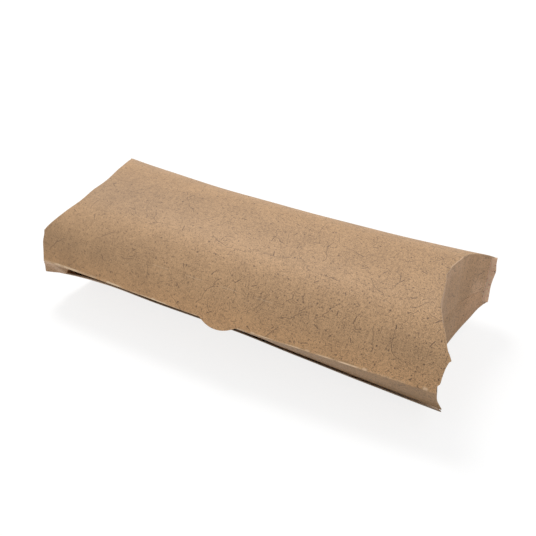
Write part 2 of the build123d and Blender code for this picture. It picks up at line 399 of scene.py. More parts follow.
@dataclass(frozen=True)
class ScoredCrease:
    """Short cuts along the cut crease, whose raised lips catch the light.

    cuts is the shift of the row, half its period, half a cut and the blur of its ends, in millimetres. lip
    and reach are soft steps: where one is half done, and its width.
    """

    cuts: Row = (-0.9, 10.0, 4.7, 1.0)
    lip: Pair = (0.14, 0.24)
    middle: float = -8.0
    reach: Pair = (42.0, 24.0)
    strength: float = 0.30

    def mask(self, shader: BoardShader) -> Shade:
        """Builds the mask, from 0 to 1."""
        lip = shader.distance("hinge_mm").below(*self.lip) * shader.dashes(*self.cuts)
        return lip * abs(shader.x - self.middle).below(*self.reach) * self.strength


@dataclass(frozen=True)
class KraftBoard:
    """Unprinted brown board: mottled pulp with dark and pale fibres, worn at its folds, and tinted with the
    painted light and shade that the mesh stores.

    panels and worn_crease are soft steps: where one is half done, and its width in millimetres. coarser and
    crease_fibres are a gain and an offset. cut_edge and dark_strength are a low and a high share. relief is
    that of the fine mottle and of the grain, and fibre_relief that of the pale and of the dark fibres.
    """

    pulp: Colour = (0.596, 0.366, 0.191, 1.0)
    dark_pulp: Colour = (0.331, 0.199, 0.1035, 1.0)
    fibre: Colour = (0.100, 0.058, 0.034, 1.0)
    pale: Colour = (0.78, 0.60, 0.42, 1.0)
    darkness: float = 0.42
    roughness: float = 0.62
    roughness_play: float = 0.06
    fine: Cloud = Cloud(0.80, 3.0, 0.72, 1.3)
    grain: Cloud = Cloud(1.9, 2.0, 0.7, 2.3)
    patch: Cloud = Cloud(0.36, 2.0, 0.6, 0.9)
    drift: Cloud = Cloud(0.055, 3.0, 0.6, 0.9)
    strands: Cloud = Cloud(5.0, 3.0, 0.7)
    cut_edge: Pair = (0.50, 0.80)
    coarser: Pair = (0.0052, 0.5)
    panels: Pair = (124.0, 4.0)
    end_flap_grain: float = 0.4
    least_bite: float = 0.75
    dark_strength: Pair = (0.75, 1.10)
    relief: Pair = (0.6, 0.5)
    fibre_relief: Pair = (0.5, 0.35)
    bump_strength: float = 0.55
    bump_depth: float = 0.06
    worn_crease: Pair = (0.32, 0.45)
    crease_fibres: Pair = (2.4, -0.70)
    crease_strength: float = 0.65
    fold_wear: FoldWear = FoldWear()
    scored: ScoredCrease = ScoredCrease()
    dark_layers: tuple[FibreLayer, ...] = (
        FibreLayer(1.8, 1.3, 0.12, 0.03, 0.55, 0.38, (0.0, 0.0, 0.0)),
        FibreLayer(3.4, 2.1, 0.14, 0.06, 0.50, 0.62, (31.0, 17.0, 3.0)),
        FibreLayer(9.5, 3.8, 0.17, 0.05, 0.33, 0.95, (11.0, 53.0, 9.0)),
        FibreLayer(8.0, 0.85, 0.35, 0.0, 0.60, 1.00, (71.0, 29.0, 5.0)),
        FibreLayer(3.4, 0.46, 0.28, 0.0, 0.60, 1.00, (19.0, 7.0, 5.0)),
        FibreLayer(1.9, 0.28, 0.21, 0.0, 0.55, 0.95, (57.0, 3.0, 7.0)),
        FibreLayer(19.0, 18.0, 0.13, 0.035, 0.60, 0.75, (13.0, 71.0, 4.0), wander=6.0),
        FibreLayer(12.0, 9.0, 0.10, 0.05, 0.40, 0.60, (47.0, 23.0, 8.0), wander=4.0),
    )
    pale_layers: tuple[FibreLayer, ...] = (
        FibreLayer(6.3, 1.2, 0.15, 0.15, 0.50, 0.22, (43.0, 7.0, 2.0)),
        FibreLayer(3.1, 0.4, 0.18, 0.05, 0.50, 0.26, (5.0, 83.0, 8.0)),
    )

    def mottle(self, shader: BoardShader, grain: Shade, coarse: Shade) -> Shade:
        """Share of dark pulp, with a grain that gets coarser along the box.

        Args:
            shader: Shader that gets the nodes.
            grain: Finest grain of the pulp.
            coarse: How coarse the grain is here, from 0 to 1.

        Returns:
            A mask from 0 to 1.
        """
        bite = coarse + self.least_bite
        mottle = (shader.fine - 0.5) * self.fine.weight * bite + (grain - 0.5) * self.grain.weight * bite
        for cloud in (self.drift, self.patch):
            mottle = mottle + (shader.noise(shader.place, cloud) - 0.5) * cloud.weight
        return shader.clamp(mottle + self.darkness)

    def wear_and_painted_light(self, shader: BoardShader, colour: object) -> bpy.types.NodeSocket:
        """Wear at creases, folds and cuts, and the stored tint, which is mostly painted light and shade.

        Args:
            shader: Shader that gets the nodes.
            colour: Socket of the clean board's colour.

        Returns:
            Socket of the worn board's colour.
        """
        crease = shader.distance("crease_mm").below(*self.worn_crease)
        worn = crease * shader.fine.stretched(*self.crease_fibres) * self.crease_strength
        for mask in (worn, self.fold_wear.mask(shader), self.scored.mask(shader)):
            colour = shader.blend(mask, colour, self.pale)
        # The stored tint carries painted light and painted shade.
        return shader.blend(1.0, colour, shader.attribute("tint").outputs["Color"], Mixing.MULTIPLY)

    def build(self, name: str, edge: bool = False, stored: bool = True) -> bpy.types.Material:
        """Makes the material.

        Args:
            name: Name of the material.
            edge: Whether it is the cut edge of the board, which is paler.
            stored: Whether the mesh stores its places, distances and tint.

        Returns:
            The material.
        """
        shader = BoardShader(name, self.fine, stored)
        fine, grain = shader.fine, shader.noise(shader.place, self.grain)
        rightness = shader.x.stretched(*self.coarser)
        coarse = rightness * shader.x.below(*self.panels).between(self.end_flap_grain, 1.0)
        colour = shader.blend(self.mottle(shader, grain, coarse), self.pulp, self.dark_pulp)
        (rise_of_fine, rise_of_grain), (raised, sunk) = self.relief, self.fibre_relief
        height = (fine - 0.5) * rise_of_fine + (grain - 0.5) * rise_of_grain
        for layer in self.pale_layers:
            mask = layer.mask(shader)
            colour = shader.blend(mask, colour, self.pale)
            height = height + mask * raised
        for layer in self.dark_layers:
            mask = layer.mask(shader) * coarse.between(*self.dark_strength)
            colour = shader.blend(mask, colour, self.fibre)
            height = height - mask * sunk
        if edge:
            strands = shader.noise(shader.place, self.strands).between(*self.cut_edge)
            colour = shader.blend(strands, colour, self.pale)
        if stored:
            colour = self.wear_and_painted_light(shader, colour)
        play = self.roughness_play
        sockets = {
            "Base Color": colour,
            "Roughness": shader.clamp(fine.between(self.roughness - play, self.roughness + play)),
            "Specular IOR Level": 0.5,
            "Normal": shader.bump(self.bump_strength, self.bump_depth, height),
        }
        return shader.finish(shader.node("ShaderNodeBsdfPrincipled", {}, sockets).outputs[0])


@dataclass(frozen=True)
class DriedGlue:
    """A film of dried clear-white paste between two layers of board. stained is a gain and an offset."""

    paste: Colour = (0.62, 0.52, 0.38, 1.0)
    stain: Colour = (0.44, 0.32, 0.19, 1.0)
    streaks: Cloud = Cloud(0.4, 4.0, 0.6)
    stained: Pair = (1.6, -0.3)
    roughness: Pair = (0.2, 0.6)
    bump_strength: float = 0.4
    bump_depth: float = 0.05

    def build(self, name: str) -> bpy.types.Material:
        """Makes the material.

        Args:
            name: Name of the material.

        Returns:
            The material.
        """
        shader = Shader(bpy.data.materials.new(name))
        streak = shader.noise(shader.in_mm(), self.streaks)
        sockets = {
            "Base Color": shader.blend(streak.stretched(*self.stained), self.paste, self.stain),
            "Roughness": shader.clamp(streak.between(*self.roughness)),
            "Normal": shader.bump(self.bump_strength, self.bump_depth, streak),
        }
        return shader.finish(shader.node("ShaderNodeBsdfPrincipled", {}, sockets).outputs[0])


@dataclass(frozen=True)
class StudioFloor:
    """Pale floor that is white to the camera and darker to bounced light."""

    bounce: float = 0.68
    shown: float = 0.26
    glow: float = 0.80

    def build(self, name: str) -> bpy.types.Material:
        """Makes the material.

        Args:
            name: Name of the material.

        Returns:
            The material.
        """
        shader = Shader(bpy.data.materials.new(name))
        plain, pale = (
            shader.node("ShaderNodeBsdfDiffuse", {}, {"Color": (grey, grey, grey, 1.0)})
            for grey in (self.bounce, self.shown)
        )
        glow = shader.node("ShaderNodeEmission", {}, {"Color": WHITE, "Strength": self.glow})
        lit = shader.node("ShaderNodeAddShader", {}, {0: pale.outputs[0], 1: glow.outputs[0]})
        sockets = {0: shader.seen(), 1: plain.outputs[0], 2: lit.outputs[0]}
        return shader.finish(shader.node("ShaderNodeMixShader", {}, sockets).outputs[0])


# ---------------------------------------------------------------- curves and folds


def ramp(distance: float, width: float) -> float:
    """Rises smoothly from 0 at nothing to 1 at a width."""
    part = max(0.0, min(1.0, distance / width))
    return part * part * (3 - 2 * part)


def spread(position: float, gather: float) -> float:
    """Moves a position in a run from 0 to 1 towards both ends, by a gather from 0 to just under 1."""
    return position - gather * math.sin(math.tau * position) / math.tau


def tinted(*washes: tuple[float, Tint]) -> Tint:
    """Tint of plain board with washes over it, each an amount with its red, green and blue."""
    red, green, blue = (1 + sum(amount * wash[index] for amount, wash in washes) for index in range(3))
    return (red, green, blue)


@dataclass(frozen=True)
class Rise:
    """A smooth step from 0 to a height. With a width below 0 it rises the other way."""

    start: float
    width: float
    height: float = 1.0

    def at(self, place: float) -> float:
        """Height at a place."""
        return self.height * ramp(place - self.start, self.width)


@dataclass(frozen=True)
class Hump:
    """A smooth hump: its middle, its width and its height."""

    middle: float
    width: float
    height: float

    def at(self, place: float) -> float:
        """Height at a place."""
        return self.height * math.exp(-(((place - self.middle) / self.width) ** 2))


@dataclass(frozen=True)
class Curve:
    """A smooth line through points, level beyond its two ends."""

    points: tuple[Pair, ...]

    def slope(self, index: int) -> float:
        """Slope of the line at one of its points.

        Args:
            index: Which of the points.

        Returns:
            The slope.
        """
        if index in (0, len(self.points) - 1):
            return 0.0
        (left, low), (right, high) = self.points[index - 1], self.points[index + 1]
        return (high - low) / (right - left)

    def at(self, place: float) -> float:
        """Height of the line.

        Args:
            place: Where it is read.

        Returns:
            The height.
        """
        if place <= self.points[0][0]:
            return self.points[0][1]
        for index, (start, low) in enumerate(self.points[:-1]):
            stop, high = self.points[index + 1]
            if place <= stop:
                run, part = stop - start, (place - start) / (stop - start)
                first = self.slope(index) * run - (high - low)
                last = (high - low) - self.slope(index + 1) * run
                sway = part * (1 - part) * ((1 - part) * first + part * last)
                return low + (high - low) * part + sway
        return self.points[-1][1]


@dataclass(frozen=True)
class Fold:
    """A rounded fold: the way into one panel, the way into the next, and how far it reaches."""

    own: Vector
    other: Vector
    reach: float

    def lift(self, distance: float) -> Vector:
        """How far a point near the fold is drawn towards its inside.

        Args:
            distance: From the fold line, along the panel.

        Returns:
            Shift of the point.
        """
        if distance >= self.reach:
            return Vector((0.0, 0.0, 0.0))
        share = max(0.0, 1 - distance / self.reach)
        return (self.own + self.other) * (self.reach / 4 * share * share)


@dataclass(frozen=True)
class Spot:
    """A place on a panel: its point, its flattened place, its distances to folds and cuts, its tint of
    painted light and shade.
    """

    point: Vector
    flat: Pair
    crease: float = FAR_MM
    hinge: float = FAR_MM
    fold: float = FAR_MM
    tint: Tint = PLAIN
    full: float = 1.0


# ---------------------------------------------------------------- shape of the carton


class End(Enum):
    """The two ends of the box."""

    LEFT = -1
    RIGHT = 1

    @classmethod
    def of(cls, along: float) -> "End":
        """End that a place along the box is nearest to."""
        return cls.RIGHT if along > 0 else cls.LEFT


@dataclass(frozen=True)
class CartonShape:
    """Sizes of the folded blank in millimetres, and the lines where its panels meet."""

    board: float = 0.5
    tip_x: float = 115.2
    half_width: float = 42.9
    upper_z: float = 45.2
    corner_lift: float = 14.0
    crown_rise: float = 14.0
    crown_power: float = 2.6
    front_power: float = 3.15
    left_power: float = 2.2
    left_lean: float = 1.5
    crease_depth: float = 15.5
    belly_flat: float = 16.0
    strip_width: float = 17.2
    fold_reach: float = 7.5
    fold_bow: float = 3.5
    back_sag: float = 3.0
    back_inset: float = 4.0
    front_drop: float = 2.0
    belly_tuck: float = 2.6
    belly_lift: float = 3.5
    flap_front_gap: float = 6.6
    flap_back_gap: float = 2.6
    flap_wrap: float = 0.62
    overrun: float = 2.0
    tip_play: float = 0.06
    brim: float = 0.99
    probe: float = 0.001
    soft_fold: float = 7.0
    sharp_fold: float = 1.3
    crisp_fold: float = 0.8
    tuck_line: Curve = Curve(
        ((-1.0, 0.58), (-0.9, 0.92), (-0.8, 1.18), (-0.66, 1.30), (-0.5, 1.14), (-0.4, 1.04),
         (0.0, 0.95), (0.1, 0.86), (0.28, 0.59), (0.4, 0.45), (0.6, 0.20), (0.72, 0.08),
         (0.87, -0.06), (1.0, -0.14))
    )
    fold_line: Curve = Curve(
        ((-112.0, 0.35), (-98.0, -0.1), (-69.0, -0.3), (-53.0, 0.05), (-11.0, 0.7), (10.0, 0.46),
         (35.0, 0.1), (68.0, -0.27), (98.0, -0.55), (113.0, -0.65))
    )
    left_crease: Curve = Curve(
        ((-43.0, 0.5), (-40.8, 0.87), (-35.7, 1.03), (-30.0, 0.71), (-23.8, -0.05), (-20.5, -0.07),
         (-13.6, 0.44), (-5.1, 0.0), (4.2, 0.46), (9.7, 0.66), (16.6, 0.42), (42.9, 0.3))
    )
    right_crease: Curve = Curve(
        ((-42.9, 0.7), (-41.0, 0.56), (-39.8, 0.24), (-34.2, 0.55), (-29.7, 0.12), (-25.7, 0.0),
         (-21.3, -0.32), (-13.9, 0.59), (-9.6, 0.72), (-5.1, 0.55), (-0.6, -0.44), (2.2, 0.0),
         (5.0, -0.14), (11.7, 0.44), (15.8, 0.56), (20.4, -0.19), (42.9, 0.0))
    )
    belly_crease: Curve = Curve(
        ((-42.9, 0.0), (-10.0, 1.2), (10.0, 1.2), (16.8, 1.05), (25.7, 0.55), (33.7, 0.05),
         (38.3, -0.65), (40.6, -0.55), (42.9, 0.0))
    )

    @property
    def crest_z(self) -> float:
        """Height of the crest of the lid."""
        return self.upper_z + self.crown_rise

    @property
    def crease_radius(self) -> float:
        """Radius of the curved end creases, seen from above."""
        return (self.half_width**2 + self.crease_depth**2) / (2 * self.crease_depth)

    @property
    def crease_centre(self) -> float:
        """Distance from the middle of the box to the centre of that radius."""
        return self.tip_x - self.crease_depth + self.crease_radius

    def share(self, x: float) -> float:
        """Place along the box, from -1 to 1 just past the tips."""
        return max(-1.0, min(1.0, x / (self.tip_x + self.overrun)))

    def bow(self, x: float) -> float:
        """One at mid-length and nothing at the ends."""
        return 1 - self.share(x) ** 2

    def upper_front(self, x: float) -> Vector:
        """Cut crease at the top of the front."""
        return Vector((x, -self.half_width, self.upper_z))

    def upper_back(self, x: float) -> Vector:
        """Edge between the lid and the back."""
        bow = self.bow(x)
        return Vector((x, self.half_width - self.back_inset * bow, self.upper_z - self.back_sag * bow))

    def upper_edge(self, x: float, across: float) -> Vector:
        """Edge of the lid: the front one for a place across below 0, or else the back one."""
        return self.upper_front(x) if across < 0 else self.upper_back(x)

    def front_fold(self, x: float) -> Vector:
        """Fold along the middle of the front, which wanders a little from a true line.

        Args:
            x: Place along the box.

        Returns:
            Its point there.
        """
        reach = self.fold_reach + self.fold_bow * self.bow(x)
        drop = math.sqrt(self.strip_width**2 - reach**2)
        down = 1 + self.fold_line.at(x) / self.strip_width
        return Vector((x, -self.half_width - reach * down, self.upper_z - drop * down))

    def back_fold(self, x: float) -> Vector:
        """Fold along the middle of the back.

        Args:
            x: Place along the box.

        Returns:
            Its point there.
        """
        corner = self.upper_back(x)
        reach = self.half_width + self.fold_reach - corner.y
        drop = math.sqrt(self.strip_width**2 - reach**2)
        return Vector((x, corner.y + reach, corner.z - drop))

    def lower_front(self, x: float) -> Vector:
        """Edge between the front and the belly, which is tucked under.

        Args:
            x: Place along the box.

        Returns:
            Its point there.
        """
        tuck = self.tuck_line.at(self.share(x))
        foot = self.corner_lift - self.front_drop + self.belly_lift * tuck
        return Vector((x, -self.half_width + self.belly_tuck * tuck, foot))

    def lower_back(self, x: float) -> Vector:
        """Edge between the back and the belly."""
        return Vector((x, self.half_width, self.corner_lift))

    def lower_edge(self, x: float, across: float) -> Vector:
        """Edge of the belly: the front one for a place across below 0, or else the back one."""
        return self.lower_front(x) if across < 0 else self.lower_back(x)

    def power(self, x: float, across: float) -> float:
        """Fullness of the lid, greatest in front and less there at the left end.

        Args:
            x: Place along the box.
            across: From -1 at the front edge to 1 at the back edge.

        Returns:
            Power of the lid's arc.
        """
        if across >= 0:
            return self.crown_power
        leaner = max(0.0, -self.share(x)) ** self.left_lean
        return self.front_power + (self.left_power - self.front_power) * leaner

    def lid_point(self, x: float, across: float) -> Vector:
        """Point on top of the lid.

        Args:
            x: Place along the box.
            across: From -1 at the front edge to 1 at the back edge.

        Returns:
            The point.
        """
        corner = self.upper_edge(x, across)
        fall = (self.crest_z - corner.z) * abs(across) ** self.power(x, across)
        return Vector((x, abs(corner.y) * across, self.crest_z - fall))

    def lid_slope(self, x: float, across: float) -> float:
        """Fall of the lid for each millimetre across.

        Args:
            x: Place along the box.
            across: From -1 at the front edge to 1 at the back edge.

        Returns:
            The fall.
        """
        corner = self.upper_edge(x, across)
        power = self.power(x, across)
        steep = (self.crest_z - corner.z) * power / abs(corner.y)
        return -math.copysign(steep * abs(across) ** (power - 1), across)

    def belly_point(self, x: float, across: float) -> Vector:
        """Point on the underside of the belly.

        Args:
            x: Place along the box.
            across: From -1 at the front edge to 1 at the back edge.

        Returns:
            The point.
        """
        corner = self.lower_edge(x, across)
        y = abs(corner.y) * across
        run = abs(corner.y) - self.belly_flat / 2
        past = abs(y) - self.belly_flat / 2
        if past <= 0:
            return Vector((x, y, 0.0))
        radius = (run**2 + corner.z**2) / (2 * corner.z)
        return Vector((x, y, radius - math.sqrt(radius**2 - past**2)))

    def belly_slope(self, x: float, across: float) -> float:
        """Rise of the belly for each millimetre across, at a place across it."""
        ahead, behind = (self.belly_point(x, across + step) for step in (self.probe, -self.probe))
        return (ahead.z - behind.z) / (ahead.y - behind.y)

    def lid_z(self, x: float, y: float) -> float:
        """Height of the lid over a place."""
        return self.lid_point(x, y / abs(self.upper_edge(x, y).y)).z

    def belly_z(self, x: float, y: float) -> float:
        """Height of the belly under a place."""
        return self.belly_point(x, y / abs(self.lower_edge(x, y).y)).z

    def swing(self, end: End, y: float, high: float) -> float:
        """How far an end crease stands out past its true arc: the belly's for high 0, the lid's for 1."""
        upper = self.right_crease if end is End.RIGHT else self.left_crease
        return upper.at(y) * high + self.belly_crease.at(y) * (1 - high)

    def end_x(self, end: End, y: float, radius: float, high: float) -> float:
        """Place along the box of an end, from the belly's crease at high 0 to the lid's at high 1."""
        arc = self.crease_centre - math.sqrt(radius**2 - y**2)
        return end.value * min(self.tip_x - self.tip_play, arc + self.swing(end, y, high))

    def past_crease(self, end: End, x: float, y: float, radius: float, high: float) -> float:
        """Distance of a place from an end crease, with the same terms as its place along the box."""
        centre = Vector((end.value * self.crease_centre, 0.0))
        return max(0.0, (Vector((x, y)) - centre).length - radius + self.swing(end, y, high))

    def end_fold(self, end: End, y: float, radius: float, slope: float, way: Vector, reach: float) -> Fold:
        """Rounded fold at an end crease.

        Args:
            end: Which end of the box.
            y: Distance from the middle of the box.
            radius: Of the crease's arc.
            slope: Rise of the long panel for each millimetre across.
            way: Way from the crease into the end flap.
            reach: How far the fold reaches.

        Returns:
            The fold.
        """
        into = Vector((-end.value * math.sqrt(max(0.0, radius**2 - y**2)), y, 0.0)).normalized()
        into.z = slope * into.y
        return Fold(way, into.normalized(), reach)

    def flap_place(self, along: float, corner: float) -> Pair:
        """Place across the box on an end flap, and what its round corner cuts off there.

        Args:
            along: From -1 at the flap's front to 1 at its back.
            corner: Radius of its free corners.

        Returns:
            The place, and the height cut off.
        """
        half = self.half_width - (self.flap_front_gap + self.flap_back_gap) / 2
        y = (self.flap_front_gap - self.flap_back_gap) / 2 + along * half
        past = max(0.0, abs(along) * half - (half - corner))
        return y, corner - math.sqrt(max(0.0, corner**2 - past**2))


# ---------------------------------------------------------------- sheets of board


def placed(name: str, data: bpy.types.ID) -> bpy.types.Object:
    """Puts an object into the scene.

    Args:
        name: Name of the object.
        data: Its mesh, light or camera.

    Returns:
        The object.
    """
    item = bpy.data.objects.new(name, data)
    bpy.context.scene.collection.objects.link(item)
    return item


def shaped(name: str, mesh: bmesh.types.BMesh) -> bpy.types.Object:
    """Turns a working mesh into an object of the scene.

    Args:
        name: Name of the object.
        mesh: Its mesh, which is used up.

    Returns:
        The object.
    """
    data = bpy.data.meshes.new(name)
    mesh.to_mesh(data)
    mesh.free()
    return placed(name, data)


@dataclass
class BoardSheet:
    """A rectangle of board, bent over a surface and given its thickness."""

    name: str
    columns: int
    rows: int
    surface: Surface
    outward: Vector
    board: float
    lined: bool = False
    gather_along: float = 0.5
    gather_across: float = 0.75

    def make(self) -> bpy.types.Object:
        """Makes the sheet's object.

        Returns:
            The object, at the origin, with its places stored on its points.
        """
        mesh = bmesh.new()
        flat = mesh.verts.layers.float_vector.new("board_mm")
        crease = mesh.verts.layers.float.new("crease_mm")
        hinge = mesh.verts.layers.float.new("hinge_mm")
        fold = mesh.verts.layers.float.new("fold_mm")
        tint = mesh.verts.layers.float_vector.new("tint")
        full = mesh.verts.layers.float.new("full")
        bmesh.ops.create_grid(mesh, x_segments=self.columns, y_segments=self.rows, size=0.5)
        for vertex in mesh.verts:
            along = spread(vertex.co.x + 0.5, self.gather_along) * 2 - 1
            across = spread(vertex.co.y + 0.5, self.gather_across)
            spot = self.surface(along, across)
            vertex.co = spot.point * MM
            vertex[flat] = (*spot.flat, 0.0)
            vertex[crease] = spot.crease
            vertex[hinge] = spot.hinge
            vertex[fold] = spot.fold
            vertex[tint] = spot.tint
            vertex[full] = spot.full
        mesh.normal_update()
        middle = sum((face.normal for face in mesh.faces), Vector())
        if middle.dot(self.outward) < 0:
            bmesh.ops.reverse_faces(mesh, faces=mesh.faces[:])
            mesh.normal_update()
        self.thicken(mesh)
        return shaped(self.name, mesh)

    def thicken(self, mesh: bmesh.types.BMesh) -> None:
        """Gives the bent sheet the thickness of the board, with sharp cut edges.

        Args:
            mesh: Sheet whose faces point outwards.
        """
        outer = mesh.faces[:]
        full = mesh.verts.layers.float["full"]
        normals = {tuple(vertex.co): vertex.normal * vertex[full] for vertex in mesh.verts}
        grown = bmesh.ops.extrude_face_region(mesh, geom=outer, use_keep_orig=True)["geom"]
        inner = {item for item in grown if isinstance(item, bmesh.types.BMFace)}
        for vertex in (item for item in grown if isinstance(item, bmesh.types.BMVert)):
            vertex.co -= normals[tuple(vertex.co)] * (self.board * MM)
        skins = inner.union(outer)
        rim = {face for face in mesh.faces if face not in skins}
        for face in rim:
            face.material_index = 1
        for face in inner if self.lined else ():
            face.material_index = 2
        bmesh.ops.recalc_face_normals(mesh, faces=mesh.faces[:])
        for face in mesh.faces:
            face.smooth = True
        for edge in {edge for face in rim for edge in face.edges}:
            edge.smooth = sum(1 for face in edge.link_faces if face in rim) != 1


def dress(sheet: BoardSheet, finishes: Finishes, node: str) -> bpy.types.Object:
    """Makes a sheet, gives it its finishes and says which CAD node it stands for.

    Args:
        sheet: What is made.
        finishes: Materials of its outer face, its cut edges and its inner face.
        node: CAD node that it replaces.

    Returns:
        The sheet's object.
    """
    piece = sheet.make()
    for finish in finishes:
        piece.data.materials.append(finish)
    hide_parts(node)
    log.info("%s: %d faces for %s", piece.name, len(piece.data.polygons), node)
    return piece


def lay(sheet: BoardSheet, finishes: Finishes, node: str) -> None:
    """Makes and dresses a sheet that stays with the carton."""
    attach(dress(sheet, finishes, node), "carton")


@dataclass
class ClosedPanel:
    """A long panel with an end flap at both ends, whose flat places lie past the panel's own."""

    shape: CartonShape
    finishes: Finishes
    rounds: int = 4
    flap_columns: int = 90
    flap_rows: int = 40
    flap_flat: float = 130.0
    flap_base: Tint = (0.0, -0.035, -0.05)

    def build_flaps(self, word: str, node_word: str, surface: Callable[..., Spot]) -> None:
        """Makes and dresses the two end flaps.

        Args:
            word: Middle of their names.
            node_word: Middle of the names of their CAD nodes.
            surface: Where the places are of the flap at an end.
        """
        for end in End:
            side, outward = end.name.lower(), Vector((float(end.value), 0.0, 0.0))
            name, size = f"{side}_{word}_end_flap", (self.flap_columns, self.flap_rows)
            flap = BoardSheet(name, *size, partial(surface, end), outward, self.shape.board)
            lay(flap, self.finishes, f"{side}_{node_word}_end_flap")


@dataclass
class Lid(ClosedPanel):
    """Arched upper panel with the two upper end flaps. Steps across it run from -1 to 1."""

    columns: int = 300
    rows: int = 150
    flap_foot: float = 16.0
    flap_corner: float = 8.0
    wave: float = 0.16
    wave_sink: float = 1.6
    wave_turns: Pair = (0.6, 2.0)
    long_wave: tuple[float, float, float] = (17.3, 13.1, 61.0)
    short_wave: tuple[float, float, float] = (9.1, 23.0, 0.6)
    calm_side: float = 12.0
    calm_end: float = 9.0
    girth: float = 0.1
    # Painted light of the lid's tint: painted highlights on the front shoulder, along the front edge and on
    # the right end crease, and painted shade over the flatter middle and towards the left end.
    shoulder_highlight: Hump = Hump(-0.62, 0.15, 0.07)
    shoulder_highlight_drift: Rise = Rise(40.0, 50.0, 0.06)
    middle: Hump = Hump(-0.03, 0.27, -0.09)
    middle_fade: Rise = Rise(-40.0, 80.0, 0.5)
    left: Rise = Rise(-5.0, -85.0, -1.0)
    left_dark: float = 0.05
    left_front_shade: Hump = Hump(-0.30, 0.28, 0.08)
    edge: Rise = Rise(-0.86, -0.12, 0.06)
    edge_reach: Rise = Rise(90.0, -40.0)
    crease_highlight: Rise = Rise(1.0, -0.8, 0.40)
    crease_highlight_middle: float = 11.5
    crease_highlight_reach: Rise = Rise(8.5, -4.0)
    right_half: Rise = Rise(0.0, 1.0)
    crease_highlight_hue: Tint = (1.0, 1.15, 1.5)
    # Painted light on the upper end flaps: paler along the lid's crease and towards the back corner.
    crescent: Rise = Rise(11.0, -8.0, 0.14)
    crescent_reach: Rise = Rise(32.0, -20.0)
    flap_back: Rise = Rise(28.0, 7.0)
    flap_back_pale: float = 0.09
    flap_back_foot: Rise = Rise(15.0, 5.0, 0.20)
    flap_hue: Tint = (1.0, 1.2, 1.8)

    @property
    def radius(self) -> float:
        """Radius of the creases that the upper end flaps hang from."""
        return self.shape.crease_radius + self.shape.flap_wrap

    def swell(self, x: float, y: float) -> float:
        """Soft unevenness of the lid, a long swell with a shorter one on top.

        Args:
            x: Place along the box.
            y: Place across it.

        Returns:
            The height, from about -1.6 to 1.6.
        """
        (turn, short_turn), (along, across, slant) = self.wave_turns, self.long_wave
        short_along, short_across, share = self.short_wave
        long_swell = math.sin(x / along + turn) * math.sin(y / across + x / slant)
        return long_swell + share * math.sin(x / short_along + y / short_across + short_turn)

    def spot(self, along: float, across: float) -> Spot:
        """Place on top of the lid.

        Args:
            along: From -1 to 1 along the box.
            across: From 0 at the front to 1 at the back.

        Returns:
            The place.
        """
        shape = self.shape
        part, end = across * 2 - 1, End.of(along)
        x = along * shape.tip_x
        for _ in range(self.rounds):
            y = shape.lid_point(x, part).y
            x = abs(along) * shape.end_x(end, y, self.radius, 1.0)
        corner = shape.upper_edge(x, part)
        slope = shape.lid_slope(x, math.copysign(1.0, part))
        to_edge = (1 - abs(part)) * abs(corner.y) * math.sqrt(1 + slope**2)
        to_end = shape.past_crease(end, x, y, self.radius, 1.0)
        own = Vector((0.0, -math.copysign(1.0, part), abs(slope))).normalized()
        fold = shape.front_fold(x) if part < 0 else shape.back_fold(x)
        side_reach = shape.soft_fold if part < 0 else shape.sharp_fold
        side_fold = Fold(own, (fold - corner).normalized(), side_reach)
        end_fold = shape.end_fold(end, y, self.radius, shape.lid_slope(x, part), DOWN, shape.crisp_fold)
        calm = self.wave * ramp(to_edge, self.calm_side) * ramp(to_end, self.calm_end)
        rise = UP * (calm * (self.swell(x, y) - self.wave_sink))
        return Spot(
            shape.lid_point(x, part) + rise + side_fold.lift(to_edge) + end_fold.lift(to_end),
            (x, y * (1 + self.girth * abs(part))),
            crease=to_end if part < 0 else min(to_edge, to_end),
            hinge=to_edge if part < 0 else FAR_MM,
            # The lid's tint is painted light: painted highlights and painted shade.
            tint=self.rubbing_and_painted_light(x, part, y, to_end),
        )

    def rubbing_and_painted_light(self, x: float, part: float, y: float, to_end: float) -> Tint:
        """Painted light on the lid: painted highlights on its front shoulder, along its front edge and on its
        right end crease, and painted shade over the flatter middle and towards the left end.

        Args:
            x: Place along the box.
            part: Place across it, from -1 at the front to 1 at the back.
            y: The same place in millimetres from the middle.
            to_end: Distance from the end crease.

        Returns:
            The tint.
        """
        tone = self.shoulder_highlight.at(part + self.shoulder_highlight_drift.at(x))
        tone += self.middle.at(part) * (1 - self.middle_fade.at(x))
        tone += self.left.at(x) * (self.left_dark + self.left_front_shade.at(part))
        tone += self.edge.at(part) * self.edge_reach.at(abs(x))
        # Painted highlight along the ridge of the right end crease.
        crease_highlight = self.crease_highlight.at(to_end) * self.crease_highlight_reach.at(abs(y - self.crease_highlight_middle))
        return tinted((tone, PLAIN), (crease_highlight * self.right_half.at(x), self.crease_highlight_hue))

    def flap_spot(self, end: End, along: float, across: float) -> Spot:
        """Place on the outside of an upper end flap.

        Args:
            end: Which end of the box.
            along: From -1 at the front to 1 at the back.
            across: From 0 at the lid to 1 at the free edge.

        Returns:
            The place.
        """
        shape = self.shape
        y, cut_off = shape.flap_place(along, self.flap_corner)
        x = shape.end_x(end, y, self.radius, 1.0)
        top, low = shape.lid_z(x, y), shape.belly_z(x, y)
        depth = (top - self.flap_foot - cut_off) * across
        x = shape.end_x(end, y, self.radius, 1 - depth / (top - low))
        slope = shape.lid_slope(x, y / shape.half_width)
        fold = shape.end_fold(end, y, self.radius, slope, DOWN, shape.crisp_fold)
